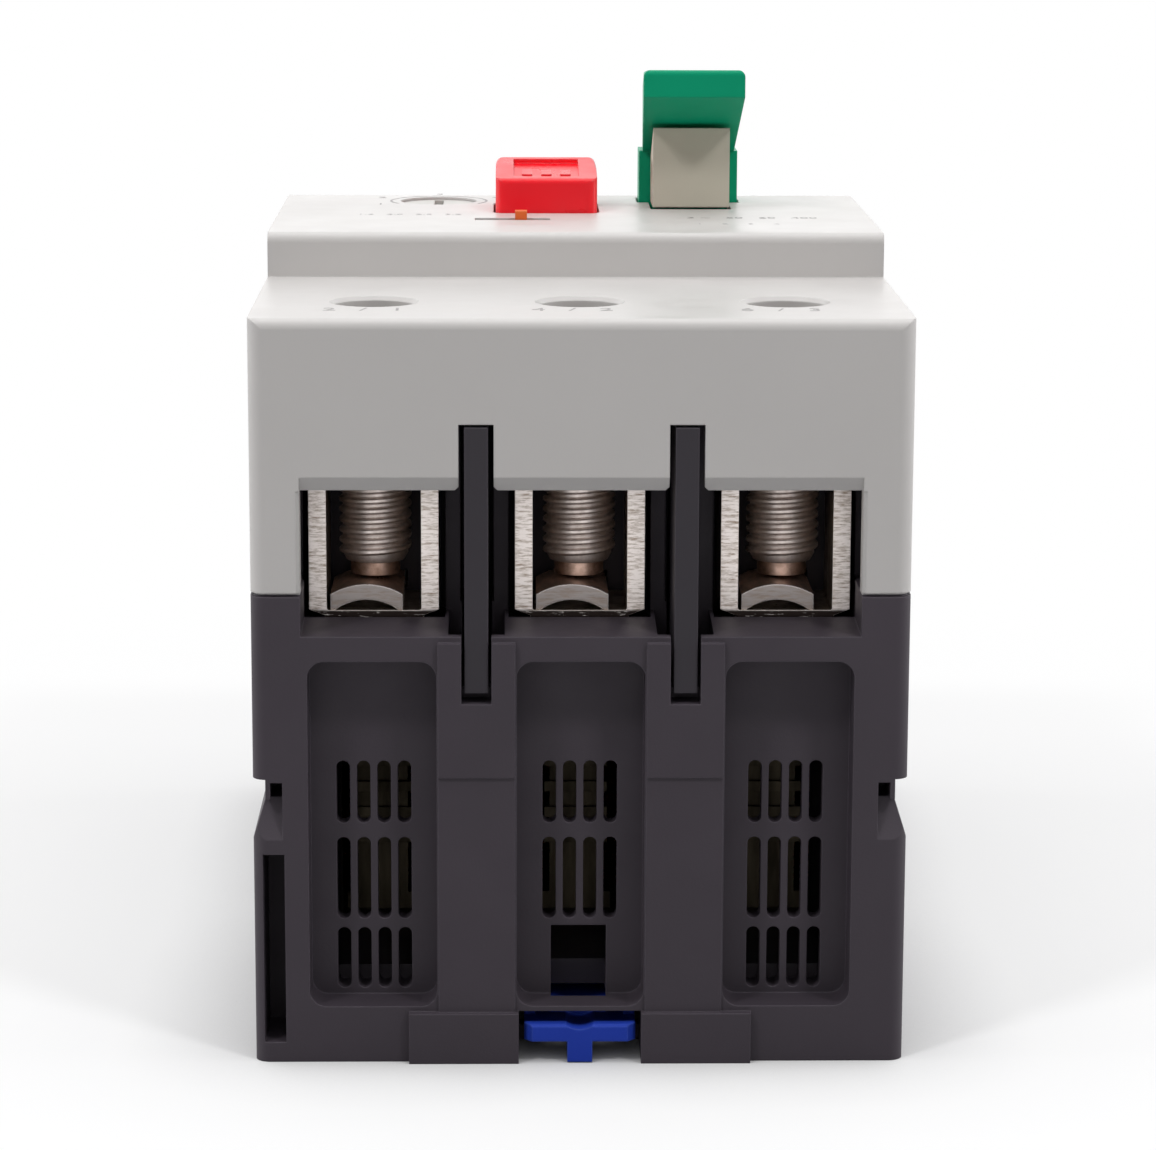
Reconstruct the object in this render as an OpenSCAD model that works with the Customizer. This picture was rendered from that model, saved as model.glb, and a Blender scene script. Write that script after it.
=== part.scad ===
// Three-pole push-button motor protection breaker, lying on its rail side.
// X runs across the poles, Y from the load end (-Y) to the line end (+Y), Z up to the front panel.
// The origin is the centre of the rail side. Sizes are in millimetres.

/* [Housing] */
// Width across the three poles
body_w = 70; // [68:0.5:80]
// Length from load end to line end
body_l = 120; // [118:1:130]
// Height of the dark base, up to the parting line
base_h = 51.4; // [50:0.2:56]
// Height of the cover's terminal ledges above the parting line
cover_h = 29.3; // [28:0.1:34]
// Height of the raised front panel above the ledges
panel_rise = 5; // [3:0.5:8]
// Length of the raised front panel, the rail-board cut-out size
panel_l = 45; // [45:0.5:48]
// Wall of base and cover
wall = 2.6; // [2:0.1:3]
// Radius of the upright corners
corner_r = 1.6; // [0.8:0.1:2.4]
// Radius of the cover's front edges
edge_r = 1.1; // [0.5:0.1:2]
// Width of the shadow groove along the parting line
groove = 0.4; // [0.2:0.1:0.8]

/* [Poles and terminals] */
// Distance from the housing's side to the middle of an outer pole
pole_side = 12.8; // [12.6:0.1:13.4]
// Width of the cover beside the terminal window
window_side = 5.3; // [4.5:0.1:5.5]
// Height of the terminal window above the parting line
window_rise = 11.1; // [10:0.1:13]
// Depth of the window's lip below the parting line
lip_drop = 4.5; // [4:0.1:5]
// Width of one terminal bay
bay_w = 15.4; // [15:0.1:15.6]
// Distance from the end face to a terminal cage
bay_front = 9; // [8:0.5:10]
// Outer width of a terminal cage
cage_w = 14; // [13.8:0.1:14.4]
// Depth of a terminal cage
cage_d = 11; // [10:0.5:12]
// Thickness of a cage's side bars
cage_t = 1.9; // [1.6:0.1:2.2]
// Diameter of a terminal screw
screw_d = 7.9; // [6:0.1:8]
// How far a terminal screw opens
screw_travel = 7.5; // [5:0.5:8]
// Diameter of the screw-access holes in the cover
access_d = 8.8; // [8.6:0.1:9.2]
// Width of the arched terminal bar
strap_w = 7.8; // [6:0.1:8.4]
// Thickness of the arched terminal bar
strap_t = 1.7; // [1.2:0.1:2.2]
// Rise of the arch in the terminal bar
strap_rise = 1.1; // [0.6:0.1:1.4]

/* [Phase barriers] */
// Thickness of a phase barrier
barrier_t = 2.5; // [1.8:0.1:2.8]
// Depth of a phase barrier into the housing
barrier_d = 19; // [14:0.5:19]
// Height of a phase barrier above the parting line
barrier_rise = 18.2; // [16:0.2:19]
// Depth of a phase barrier below the parting line
barrier_drop = 10.6; // [9:0.2:11]

/* [End face] */
// Width of a moulded pocket
pocket_w = 13.7; // [13:0.1:14]
// Height of a moulded pocket
pocket_h = 38; // [36:0.5:38]
// Depth of a moulded pocket
pocket_d = 4.7; // [3:0.1:5]
// Height of the pockets' lower edge
pocket_z = 6.2; // [6:0.1:7]
// Width of a ventilation slot
vent_w = 1.45; // [1:0.05:1.7]
// Distance between ventilation slots
vent_pitch = 2.2; // [2.1:0.05:2.4]

/* [Rail mounting] */
// Width of the mounting rail
rail_w = 35; // [35:0.1:35.2]
// Depth of the rail channel
rail_depth = 6.2; // [6:0.1:6.4]
// Thickness of the rail's flange
rail_t = 1; // [0.8:0.1:1.2]
// Width of the rail clip
clip_w = 12; // [10:0.2:12.2]
// How far the rail clip pulls out
clip_travel = 3.5; // [2.5:0.5:4]

/* [Controls] */
// Width of the start button
start_w = 12; // [11:0.5:13]
// Height of the start button above the panel when off
start_rise = 17; // [16:0.5:18]
// Travel of the start button
start_travel = 6; // [4:0.5:6]
// Height of the stop button above the panel, at its near edge
stop_rise = 4.1; // [3.8:0.1:6]
// Width of the stop button
stop_w = 12.1; // [11:0.1:12.4]
// Length of the stop button
stop_l = 12.5; // [11:0.5:13]
// Travel of the stop button
stop_travel = 3.5; // [2:0.5:3.5]
// Diameter of the setting dial
dial_d = 8.8; // [7:0.2:9.2]
// Travel of the padlock slide
lock_travel = 4; // [2:0.5:4.5]

/* [Fits] */
// Clearance round a moving plastic piece
run_gap = 0.25; // [0.15:0.05:0.35]
// Clearance round a pin in its bore
pin_gap = 0.05; // [0.02:0.01:0.1]
// Clearance between pieces that only face each other
face_gap = 0.3; // [0.2:0.05:0.4]

/* [Hidden] */
hw = body_w/2;
hl = body_l/2;
pole_pitch = hw - pole_side;
window_w = body_w - 2*window_side;
ledge_z = base_h + cover_h;
panel_z = ledge_z + panel_rise;
under_panel = panel_z - wall;
under_ledge = ledge_z - wall;
window_top = base_h + window_rise;
lip_z = base_h - lip_drop;
lip_rise = 0.6;                       // the window floor climbs this much on its way in
cage_y = -hl + bay_front;             // the near face of a load-end cage
bay_back = cage_y + cage_d + 1.5;     // the far wall of a terminal bay
bay_wall = 1.5;
cage_z = lip_z + lip_rise + 0.45;     // the inside bottom of a cage
cage_top = cage_z + 18;
bar_z = cage_z + 0.3;                 // the under side of the flat bar that leaves a cage
wall_y = cage_y + 2.5;                // the near edges of the walls between the bays
tower_z = window_top + 5.5;           // the top of the dark walls round the cages
screw_y = cage_y + 6.1;               // the axis of the terminal screws
pad_gap = 0.3;
pad_h = 1.5;
pad_z = cage_z + strap_t + strap_rise + pad_gap;
screw_z = pad_z + pad_h;
screw_l = ledge_z - 1.45 - screw_travel - screw_z;  // an open screw stays under the ledge
poles = [-pole_pitch, 0, pole_pitch];
barrier_x = [-pole_pitch/2, pole_pitch/2];
barrier_slot = barrier_t + 2*0.35;
trench_w = pole_pitch - bay_w - 0.8;
wall_slot = barrier_t + 2*0.55;       // the space for a barrier between the dark walls
floor_z = rail_depth + 2.3;           // the floor of the pole chambers
chamber_w = pole_pitch - 1.8;         // leaves the partitions between the poles
chamber_y = -bay_back - bay_wall;     // half length of the pole chambers
post_x = hw - 5.4;
post_y = chamber_y - 3.5;
post_r = 3;
bolt_r = 1.5;
hook = 1.3;                           // how far the hook and the clip reach over the rail
rail_half = rail_w/2 + 0.3;
flange_z = rail_depth - rail_t - 0.3; // the under side of the rail's flange

spring_y = -hl + 9.3;                 // where the clip's spring bears on the base

// moving contacts
contact_y = 4;                        // the middle of the contact bridges
reach = 10.5;                         // from the middle to each contact
coil_r = 6.2;                         // to the middle of the winding's wire
coil_wire = 1.25;
flange_r = coil_r + 1.8;
coil_pitch = 2.3;
coil_flange = 1.5;
coil_h = 22;
heater_y = 7 - chamber_y;             // where the bimetals stand
heater_w = 6;
heater_foot = 5.5;
heater_drop = 5.4;                    // from the top of the base down to the strip's end
band_z = 8;                           // the heater's first band, above the floor
band_pitch = 3;
band_h = 1.2;
band_t = 0.6;                         // a band stands this far off the strip
// the axis of the trip coils: before the contacts, and clear of the bimetals' feet
coil_y = max(contact_y - 18, heater_y + heater_foot + flange_r + 0.5);
chute_l = 12;
chute_back = 7.4;                     // from the chamber's far wall to the plates
chute_w = 14.2;                       // between the middles of a chute's sides
chute_t = 0.8;
lever_ratio = 0.62;                   // contact travel over start travel
contact_travel = start_travel*lever_ratio;
arm_t = 1.4;
arm_z = base_h - 14.1;                // the under side of the fixed contact arms
tip_h = 1;
tip_root = 0.2;                       // how far a contact tip is let into its bar
tip_r = 2;
tip_gap = 0.2;
bridge_t = 1.4;
bridge_z = arm_z + arm_t + 2*tip_h + contact_travel + tip_gap;
carrier_y = 3;                        // half length of the contact carrier
carrier_top = base_h - face_gap;
carrier_z = bridge_z - 2.1;

// controls
start_x = 14.3;
start_near = -1.6;                    // the near edge of the start button's cap
start_far = 18.6;                     // the far face of the start button
leg_y = 13;                           // the near face of the start button's leg
cap_h = 3.15;
start_fall = 3.2;                     // how far the start button's top drops to the back
start_top = panel_z + start_rise;
leg_z = panel_z + 6.3;                // where the slope under the cap meets the leg
lock_w = 9.2;
lock_y = 4.9;                         // the near face of the padlock slide
lock_bottom = panel_z + 0.2;
lock_gap = 0.75;                      // between the slide and the slope over it
stop_x = -3.15;
stop_near = -0.2;
stop_r = 1.1;
stop_lean = 1.5;                      // how much the stop button climbs to the back
test_x = -6.2;
test_y = -7.1;
dial_x = -16.2;
dial_y = 14.4;
flange_t = 1.4;
flange_edge = 0.9;
flange_top = under_panel - face_gap;
guide_h = 2.4;                        // rails under the panel that hold the test slider

// mechanism
plate_t = 1.5;
plate_z = base_h;
deck = plate_z + plate_t;             // the top of the mechanism plate
drive_y = -16;
drive_z = base_h + 12.6;
drive_x = 16.4;
drive_w = 4.2;
drive_reach = 16.5 - drive_y;
latch_y = -8;
latch_z = base_h + 12.6;
latch_x = -3.1;
latch_w = 4.2;
latch_reach = 14;
spring_r = 1.7;
spring_wire = 0.35;
spring_turns = 8;
pin_r = 1.5;
lever_h = 4;
start_bottom = under_panel - 5.1;     // the under side of the start button's body
stop_bottom = flange_top - flange_t - stop_travel;  // the stop button's body stays in its guide
slope = (leg_z - start_top + cap_h)/(leg_y - start_near);
trip_y = -23;
trip_z = base_h + 6.6;
trip_r = 2;
trip_half = hw - 5;                   // half length of the trip bar, short of the cover's walls
facets = 48;

// ---- shapes that repeat ----

module rounded(w, l, r) {
    square([w - 2*r, l], center = true);
    square([w, l - 2*r], center = true);
    for (x = [-1, 1], y = [-1, 1])
        translate([x*(w/2 - r), y*(l/2 - r)]) circle(r, $fn = facets);
}

// a block from 0 to h whose two upper corners are rounded, standing on the X axis
module topped(w, h, r) {
    translate([-w/2, 0]) square([w, h - r]);
    translate([r - w/2, 0]) square([w - 2*r, h]);
    for (x = [-1, 1])
        translate([x*(w/2 - r), h - r]) circle(r, $fn = facets);
}

// children drawn in X and Z, pulled along Y
module along_y(y0, y1) {
    translate([0, y1, 0]) rotate([90, 0, 0]) linear_extrude(y1 - y0) children();
}

// children drawn in Y and Z, pulled along X
module along_x(x0, x1) {
    translate([x0, 0, 0]) rotate([90, 0, 90]) linear_extrude(x1 - x0) children();
}

module box(x0, x1, y0, y1, z0, z1) {
    translate([x0, y0, z0]) cube([x1 - x0, y1 - y0, z1 - z0]);
}

module both_ends() {
    children();
    mirror([0, 1, 0]) children();
}

module both_sides() {
    children();
    mirror([1, 0, 0]) children();
}

module pin_x(x0, x1, y, z, r) {
    translate([x0, y, z]) rotate([0, 90, 0]) cylinder(r = r, h = x1 - x0, $fn = facets);
}

function coil_ring(r, wire, z, a, n) = [for (k = [0:n - 1])
    [(r + wire*cos(360*k/n))*cos(a), (r + wire*cos(360*k/n))*sin(a), z + wire*sin(360*k/n)]];

// a helical spring of wire, standing from z0 to z1
module coil_spring(r, wire, z0, z1, turns) {
    n = 6;
    per_turn = 14;
    steps = floor(turns*per_turn);
    rise = z1 - z0 - 2*wire;
    points = [for (i = [0:steps])
        each coil_ring(r, wire, z0 + wire + rise*i/steps, 360*i/per_turn, n)];
    sides = [for (i = [0:steps - 1], k = [0:n - 1])
        [i*n + k, (i + 1)*n + k, (i + 1)*n + (k + 1) % n, i*n + (k + 1) % n]];
    polyhedron(points, concat([[for (k = [0:n - 1]) k]], sides,
        [[for (k = [n - 1:-1:0]) steps*n + k]]), convexity = 10);
}

// ---- base ----

// three rows of slots in a pocket's floor; the middle pocket gives its lowest row to a window
module vent_rows(rows) {
    for (row = rows, k = [-1.5:1:1.5])
        translate([k*vent_pitch, (row[0] + row[1])/2])
            rounded(vent_w, row[1] - row[0], vent_w/2 - 0.01);
}

module pocket_cuts(with_window) {
    rows = [[25.4, 32.3], [14.7, 23.8], [6.9, 13.7]];
    for (x = poles)
        translate([x, 0, 0]) {
            along_y(-hl - 1, -hl + pocket_d)
                translate([0, pocket_z + pocket_h/2]) rounded(pocket_w, pocket_h, 1.8);
            along_y(-hl + pocket_d - 1, -hl + 8)
                vent_rows(x == 0 && with_window ? [rows[0], rows[1]] : rows);
        }
}

// the terminal window, the cages' bays and the barriers' slots
module terminal_cuts() {
    along_x(-window_w/2, window_w/2) polygon([[-hl - 1, lip_z], [-hl, lip_z],
        [wall_y, lip_z + lip_rise], [wall_y, base_h + 1], [-hl - 1, base_h + 1]]);
    for (x = poles)
        box(x - bay_w/2, x + bay_w/2, cage_y - 0.7, bay_back, cage_z - cage_t - face_gap, tower_z + 1);
    slot_end = -hl + barrier_d + 0.3;
    slot_z = base_h - barrier_drop;
    for (x = barrier_x) {
        box(x - barrier_slot/2, x + barrier_slot/2, -hl - 1, slot_end, slot_z, base_h + 1);
        box(x - barrier_slot/2, x + barrier_slot/2, -hl - 1, -hl + 3, slot_z - 1.1, base_h);
        box(x - wall_slot/2, x + wall_slot/2, cage_y - 0.7, slot_end, base_h - 3, tower_z + 1);
        // the window's floor is cut away round the barrier
        box(x - trench_w/2, x + trench_w/2, -hl + 1, wall_y, slot_z + 0.4, base_h + 1);
    }
}

// a ramp and a latch hole at each front corner
module corner_cuts() {
    both_sides() {
        along_x(hw - 3.2, hw + 1) polygon([[-hl - 1, 22.2], [-hl + 1.8, 29.2], [-hl - 1, 29.2]]);
        box(hw - 3.2, hw - 1.9, -hl - 1, -hl + 6, 29.1, 31);
    }
}

// what stands proud of an end of the base
module end_reliefs() {
    for (x = barrier_x) {
        box(x - 4.1, x + 4.1, -hl - 0.3, -hl + 1, pocket_z - 0.6, lip_z - 0.6);
        box(x - 4.1, x + 4.1, -hl - 0.55, -hl + 1, 31.65, lip_z - 0.6);
    }
    both_sides()
        box(clip_w/2 + 0.6, 18.4, -hl - 0.9, -hl + 1, 0, rail_depth - 0.6);
}

// dark walls that rise round the cages, inside the cover
module terminal_walls() {
    side = pole_pitch + bay_w/2;
    box(-side - bay_wall, side + bay_wall, bay_back, bay_back + bay_wall, base_h - 1, tower_z);
    both_sides() box(side, side + bay_wall, wall_y, bay_back + 1, base_h - 1, tower_z);
    between = (pole_pitch - bay_w)/2;
    for (x = barrier_x)
        box(x - between, x + between, wall_y, bay_back + 1, base_h - 1, tower_z);
}

// the three pole chambers, and what opens into them
module chambers() {
    for (x = poles) {
        box(x - chamber_w/2, x + chamber_w/2, -chamber_y, chamber_y, floor_z, tower_z + 1);
        both_ends() {
            box(x - 7, x + 7, -hl + pocket_d + 2, -chamber_y + 1, floor_z, cage_z - cage_t - 2.6);
            // the terminal bar's way into the chamber
            box(x - heater_w/2 - face_gap, x + heater_w/2 + face_gap, bay_back - 1, -chamber_y + 1,
                bar_z - face_gap, bar_z + arm_t + face_gap);
        }
    }
    // the contact carrier crosses the partitions
    box(-hw + wall, hw - wall, contact_y - carrier_y - 1, contact_y + carrier_y + 1,
        carrier_z - contact_travel - 1, base_h + 1);
}

module posts(z0, z1) {
    both_sides() both_ends()
        translate([post_x, -post_y, z0]) cylinder(r = post_r, h = z1 - z0, $fn = facets);
}

module bolt_places() {
    for (x = [-1, 1], y = [-1, 1])
        translate([x*post_x, y*post_y, 0]) children();
}

// saddles on the partitions that carry the trip bar
module trip_saddles() {
    half = trip_r + pin_gap;
    for (x = barrier_x)
        difference() {
            box(x - 0.9, x + 0.9, trip_y - 3.4, trip_y + 2.7, base_h - 1, trip_z + 2.2);
            pin_x(x - 2, x + 2, trip_y, trip_z, half);
            box(x - 2, x + 2, trip_y - half, trip_y + half, trip_z, trip_z + 4);
        }
}

// lugs that the clip's spring bears on, and ledges that hold the clip up
module clip_guides() {
    both_sides() {
        box(clip_w/2 - 0.8, clip_w/2 + 1.6, -hl + 7, -hl + 9, 0.2, 1.9);
        box(clip_w/2 - 0.8, clip_w/2 + 1.6, -hl + 18, -rail_half - 4.2, 0.5, 2.1);
    }
}

// the shadow groove all round the parting line
module parting_groove(z0, z1) {
    difference() {
        box(-hw - 1, hw + 1, -hl - 1, hl + 1, z0, z1);
        translate([0, 0, z0 - 1]) linear_extrude(z1 - z0 + 2)
            rounded(body_w - 2*groove, body_l - 2*groove, corner_r - groove);
    }
}

module base_shell() {
    difference() {
        union() {
            linear_extrude(base_h) rounded(body_w, body_l, corner_r);
            both_ends() {
                end_reliefs();
                terminal_walls();
            }
        }
        pocket_cuts(true);
        mirror([0, 1, 0]) pocket_cuts(false);
        both_ends() {
            terminal_cuts();
            corner_cuts();
        }
        chambers();
        // screwdriver window down to the rail clip, and a tool slot beside the pockets
        box(-3.1, 2.9, -hl + pocket_d - 1, -hl + 10, rail_depth - 1.5, 13.9);
        box(-hw + 1.05, -hw + 3.35, -hl - 1, -hl + 9, 2.2, 23.1);
        // the clip's channel
        box(-clip_w/2 - 0.6, clip_w/2 + 0.6, -hl - 1, 1 - rail_half, -1, rail_depth - 0.55);
        // the rail channel, with its fixed hook on the line side
        along_x(-hw - 1, hw + 1) polygon([[-rail_half, -1], [rail_half - hook, -1],
            [rail_half - hook, flange_z], [rail_half, flange_z], [rail_half, rail_depth],
            [-rail_half, rail_depth]]);
        both_sides()
            along_y(-hl - 1, hl + 1) polygon([[hw + 1, 31.35], [hw - 1.4, 31.35],
                [hw - 1.4, 29.2], [hw, 24.7], [hw + 1, 24.7]]);
        parting_groove(base_h - groove/2, base_h + 0.5);
    }
}

module base_housing() {
    color("#3c373d")
        difference() {
            union() {
                base_shell();
                posts(floor_z - 1, base_h);
                trip_saddles();
                clip_guides();
            }
            bolt_places() {
                translate([0, 0, -1]) cylinder(r = 2*bolt_r + 0.2, h = 4, $fn = facets);
                cylinder(r = bolt_r + 0.15, h = base_h + 1, $fn = facets);
            }
        }
}

// ---- cover ----

module cover_block() {
    intersection() {
        translate([0, 0, base_h]) linear_extrude(panel_z - base_h)
            rounded(body_w, body_l, corner_r);
        along_x(-hw, hw)
            translate([0, base_h]) {
                topped(body_l, cover_h, edge_r);
                topped(panel_l, cover_h + panel_rise, edge_r);
            }
    }
}

module cover_cavity() {
    translate([0, 0, base_h - 1]) linear_extrude(under_ledge - base_h + 1)
        rounded(body_w - 2*wall, body_l - 2*wall, 0.8);
    box(-hw + wall, hw - wall, -panel_l/2 + wall, panel_l/2 - wall, under_ledge - 1, under_panel);
}

// the terminal window with its bevelled edge, and the barriers' slots above it
module cover_window() {
    bevel_h = 1.5;
    bevel_d = 0.9;
    side_bevel = 0.4;
    mitre = 0.4;
    box(-window_w/2, window_w/2, -hl - 1, -hl + wall + 1, base_h - 1, window_top);
    along_x(-window_w/2, window_w/2) polygon([[-hl - bevel_d, window_top],
        [-hl - bevel_d, window_top + 2*bevel_h], [-hl + bevel_d, window_top]]);
    both_sides()
        translate([window_w/2, -hl, base_h - 1]) linear_extrude(window_top - base_h + 1)
            polygon([[-1, -side_bevel], [2*side_bevel, -side_bevel], [0, side_bevel],
                [-1, side_bevel]]);
    half = barrier_slot/2 + 0.25;
    for (x = barrier_x)
        translate([x, 0, 0]) along_y(-hl - 1, -hl + wall + 1)
            polygon([[-half - mitre, window_top - 1], [-half - mitre, window_top],
                [-half, window_top + mitre], [-half, base_h + barrier_rise],
                [half, base_h + barrier_rise], [half, window_top + mitre],
                [half + mitre, window_top], [half + mitre, window_top - 1]]);
}

module access_places() {
    both_ends()
        for (x = poles) translate([x, screw_y, 0]) children();
}

// rails under the panel, with lips that hold the test slider's foot
module test_guides() {
    z = under_panel - guide_h;
    for (side = [-1, 1])
        translate([0, test_y, 0]) mirror([0, side < 0 ? 1 : 0, 0]) {
            box(test_x - 5, test_x + 5, 2.7, 3.7, z, under_panel + 0.5);
            box(test_x - 5, test_x + 5, 2.1, 3, z, z + 0.8);
        }
}

module front_cover() {
    color("#dddddb")
        difference() {
            union() {
                difference() {
                    cover_block();
                    cover_cavity();
                    both_ends() cover_window();
                }
                posts(base_h, under_ledge + 1);
                access_places()
                    translate([0, 0, tower_z + 4]) cylinder(d = access_d + 2.6,
                        h = under_ledge - tower_z - 3, $fn = facets);
                test_guides();
            }
            parting_groove(base_h - 0.5, base_h + groove/2);
            access_places() {
                cylinder(d = access_d, h = ledge_z + 1, $fn = facets);
                translate([0, 0, ledge_z - 0.45])
                    cylinder(d1 = access_d, d2 = access_d + 2, h = 1, $fn = facets);
            }
            bolt_places() cylinder(r = bolt_r + 0.15, h = base_h + 12, $fn = facets);
            // the start button's leg, and the padlock slide in front of it
            box(start_x - start_w/2 - run_gap, start_x + start_w/2 + run_gap, leg_y - run_gap,
                start_far + run_gap, under_panel - 1, panel_z + 1);
            box(start_x - lock_w/2 - run_gap, start_x + lock_w/2 + run_gap, lock_y - run_gap,
                leg_y, under_panel - 1, panel_z + 1);
            translate([stop_x, stop_near + stop_l/2, under_panel - 1]) linear_extrude(wall + 2)
                rounded(stop_w + 2*run_gap, stop_l + 2*run_gap, stop_r + run_gap);
            box(test_x - 5.4, test_x + 3.4, test_y - 1.1, test_y + 1.1, under_panel - 1, panel_z + 1);
            translate([dial_x, dial_y, under_panel - 1])
                cylinder(d = dial_d + 2*run_gap, h = wall + 2, $fn = facets);
        }
}

module housing_screws() {
    color("#b8b4ae")
        bolt_places()
            difference() {
                union() {
                    translate([0, 0, 0.6]) cylinder(r = 2*bolt_r - 0.1, h = 2.4, $fn = facets);
                    translate([0, 0, 3]) cylinder(r = bolt_r, h = base_h + 6, $fn = facets);
                }
                translate([0, 0, 0]) cylinder(r = 1.3, h = 2, $fn = 6);
            }
}

// ---- controls ----

module start_button() {
    plunger_z = drive_z + lever_h/2 + face_gap;
    r = 0.6;
    taper = 0.6;
    color("#107b5f") {
        difference() {
            intersection() {
                along_x(start_x - start_w/2, start_x + start_w/2) {
                    polygon([[start_near, start_top - r], [start_near + r, start_top],
                        [start_far - r, start_top - start_fall],
                        [start_far, start_top - r - start_fall],
                        [start_far, start_bottom], [leg_y, start_bottom], [leg_y, leg_z],
                        [start_near, start_top - cap_h]]);
                    translate([start_near + r, start_top - r]) circle(r, $fn = facets);
                }
                along_y(start_near - 1, start_far + 1)
                    translate([start_x, start_bottom]) topped(start_w, start_top - start_bottom, 0.8);
            }
            // above the leg, both sides lean in to the back
            translate([start_x, 0, leg_z]) both_sides() linear_extrude(start_top - leg_z + 1)
                polygon([[start_w/2, start_near], [start_w/2 + 1, start_near],
                    [start_w/2 + 1, start_far + 1], [start_w/2 - taper, start_far + 1]]);
            // the padlock slide's tongue runs in here
            box(start_x - 3.3, start_x + 3.3, leg_y - 1, leg_y + lock_travel + 1, lock_bottom + 0.7,
                lock_bottom + 4.6);
        }
        flange(start_x, start_w, leg_y, start_far - leg_y);
        // plunger with a round foot that presses the drive lever
        box(drive_x - 1.6, drive_x + 1.6, 15, 18, plunger_z + 1.5, start_bottom + 1);
        pin_x(drive_x - 1.6, drive_x + 1.6, 16.5, plunger_z + 1.5, 1.5);
    }
}

// the collar that stops a button under the panel
module flange(x, w, y, l) {
    box(x - w/2 - flange_edge, x + w/2 + flange_edge, y - flange_edge, y + l + flange_edge,
        flange_top - flange_t, flange_top);
}

module padlock_slide() {
    top = start_top - cap_h - lock_gap;
    far = leg_y - face_gap;
    color("#aea99d") {
        difference() {
            along_x(start_x - lock_w/2, start_x + lock_w/2) polygon([[lock_y, lock_bottom],
                [far, lock_bottom], [far, top + slope*(far - start_near)],
                [lock_y, top + slope*(lock_y - start_near)]]);
            pin_x(start_x - start_w, start_x + start_w, lock_y + 3.6, lock_bottom + 3.4, 2);
        }
        box(start_x - 3.1, start_x + 3.1, far - 1, leg_y + lock_travel + 0.7, lock_bottom + 0.9,
            lock_bottom + 4.4);
    }
}

module stop_button() {
    r = 0.6;
    near_top = panel_z + stop_rise;
    far = stop_near + stop_l;
    far_top = near_top + stop_lean;
    foot_z = latch_z + lever_h/2 + face_gap;
    color("#cd050f") {
        difference() {
            intersection() {
                along_x(stop_x - stop_w/2, stop_x + stop_w/2) {
                    polygon([[stop_near, stop_bottom], [stop_near, near_top - r],
                        [stop_near + r, near_top], [far - r, far_top], [far, far_top - r],
                        [far, stop_bottom]]);
                    translate([stop_near + r, near_top - r]) circle(r, $fn = facets);
                }
                along_y(stop_near - 1, far + 1)
                    translate([stop_x, stop_bottom]) topped(stop_w, far_top - stop_bottom, 0.9);
                translate([stop_x, stop_near + stop_l/2, stop_bottom - 1])
                    linear_extrude(far_top - stop_bottom + 2) rounded(stop_w, stop_l, stop_r);
            }
            stop_recess();
        }
        stop_marks();
        flange(stop_x, stop_w, stop_near, stop_l);
        box(stop_x - 1.6, stop_x + 1.6, 4.5, 7.5, foot_z + 1.5, stop_bottom + 1);
        pin_x(stop_x - 1.6, stop_x + 1.6, 6, foot_z + 1.5, 1.5);
    }
}

// a shallow tray in the stop button's sloping top
module stop_recess() {
    along_x(stop_x - 3.9, stop_x + 3.9)
        polygon([for (p = [[1.6, -0.5], [1.6, 2], [stop_l - 1.6, 2], [stop_l - 1.6, -0.5]])
            [stop_near + p[0], panel_z + stop_rise + stop_lean*p[0]/stop_l + p[1]]]);
}

// three plain ribs across the tray
module stop_marks() {
    for (k = [-1, 0, 1])
        along_x(stop_x + 2.3*k - 0.6, stop_x + 2.3*k + 0.6)
            polygon([for (p = [[2.4, -0.6], [2.4, 0], [5, 0], [5, -0.6]])
                [stop_near + p[0], panel_z + stop_rise + stop_lean*p[0]/stop_l + p[1]]]);
}

module test_slider() {
    z = under_panel - guide_h + 0.8 + face_gap;
    color("#e0702c") {
        box(test_x - 0.7, test_x + 0.7, test_y - 0.8, test_y + 0.8, z + 0.5, panel_z + 1);
        box(test_x - 2.2, test_x + 2.2, test_y - 2.5, test_y + 2.5, z, z + 0.9);
    }
}

module setting_dial() {
    color("#d9d9d6")
        translate([dial_x, dial_y, 0])
            difference() {
                union() {
                    translate([0, 0, flange_top - flange_t])
                        cylinder(d = dial_d + 1.4, h = flange_t, $fn = facets);
                    translate([0, 0, start_bottom]) cylinder(d = dial_d, h = panel_z - start_bottom - 0.3,
                        $fn = facets);
                    translate([0, 0, start_bottom - 3]) cylinder(d = dial_d/2, h = 4, $fn = facets);
                }
                box(-0.55, 0.55, -dial_d/2 + 0.9, dial_d/2 - 0.9, panel_z - 1.5, panel_z + 1);
            }
}

// ---- rail clip ----

module rail_clip() {
    plate_z0 = 2.4;
    plate_top = 4.25;
    nose_y = -rail_half + hook + 0.3;
    near = -hl - 0.6;
    half = clip_w/2;
    color("#26409a") {
        difference() {
            along_x(-half, half) polygon([[near, plate_z0], [near, plate_top - 0.2],
                [near + 0.2, plate_top], [nose_y - 2.2, plate_top + 0.3], [nose_y, plate_top + 0.3],
                [nose_y, plate_z0 + 1.4], [nose_y - 1.2, plate_z0]]);
            // chamfered front corners
            both_sides() translate([half, near, plate_z0 - 1]) rotate([0, 0, 45])
                translate([-0.6, -0.6, 0]) cube([1.2, 1.2, 4]);
            // thumb dip in the front edge
            along_y(near - 1, near + 5.4) translate([0, plate_top + 2.1]) circle(2.6, $fn = facets);
            // slot for the screwdriver's tip
            box(-2.6, 2.6, near + 7, near + 9.4, plate_z0 - 1, plate_top + 1);
        }
        both_sides()
            box(half - 1.2, half, near + 3.8, near + 5.2, plate_z0 + 1, plate_top + 0.9);
        // stem below the front edge, and the rib that the spring pushes
        box(-1.35, 1.35, near, near + 9.6, 0.1, plate_z0 + 0.5);
        box(-3, 3, spring_y + clip_travel + 0.4, spring_y + clip_travel + 1.9, 0.4, plate_z0 + 0.5);
    }
}

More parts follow.
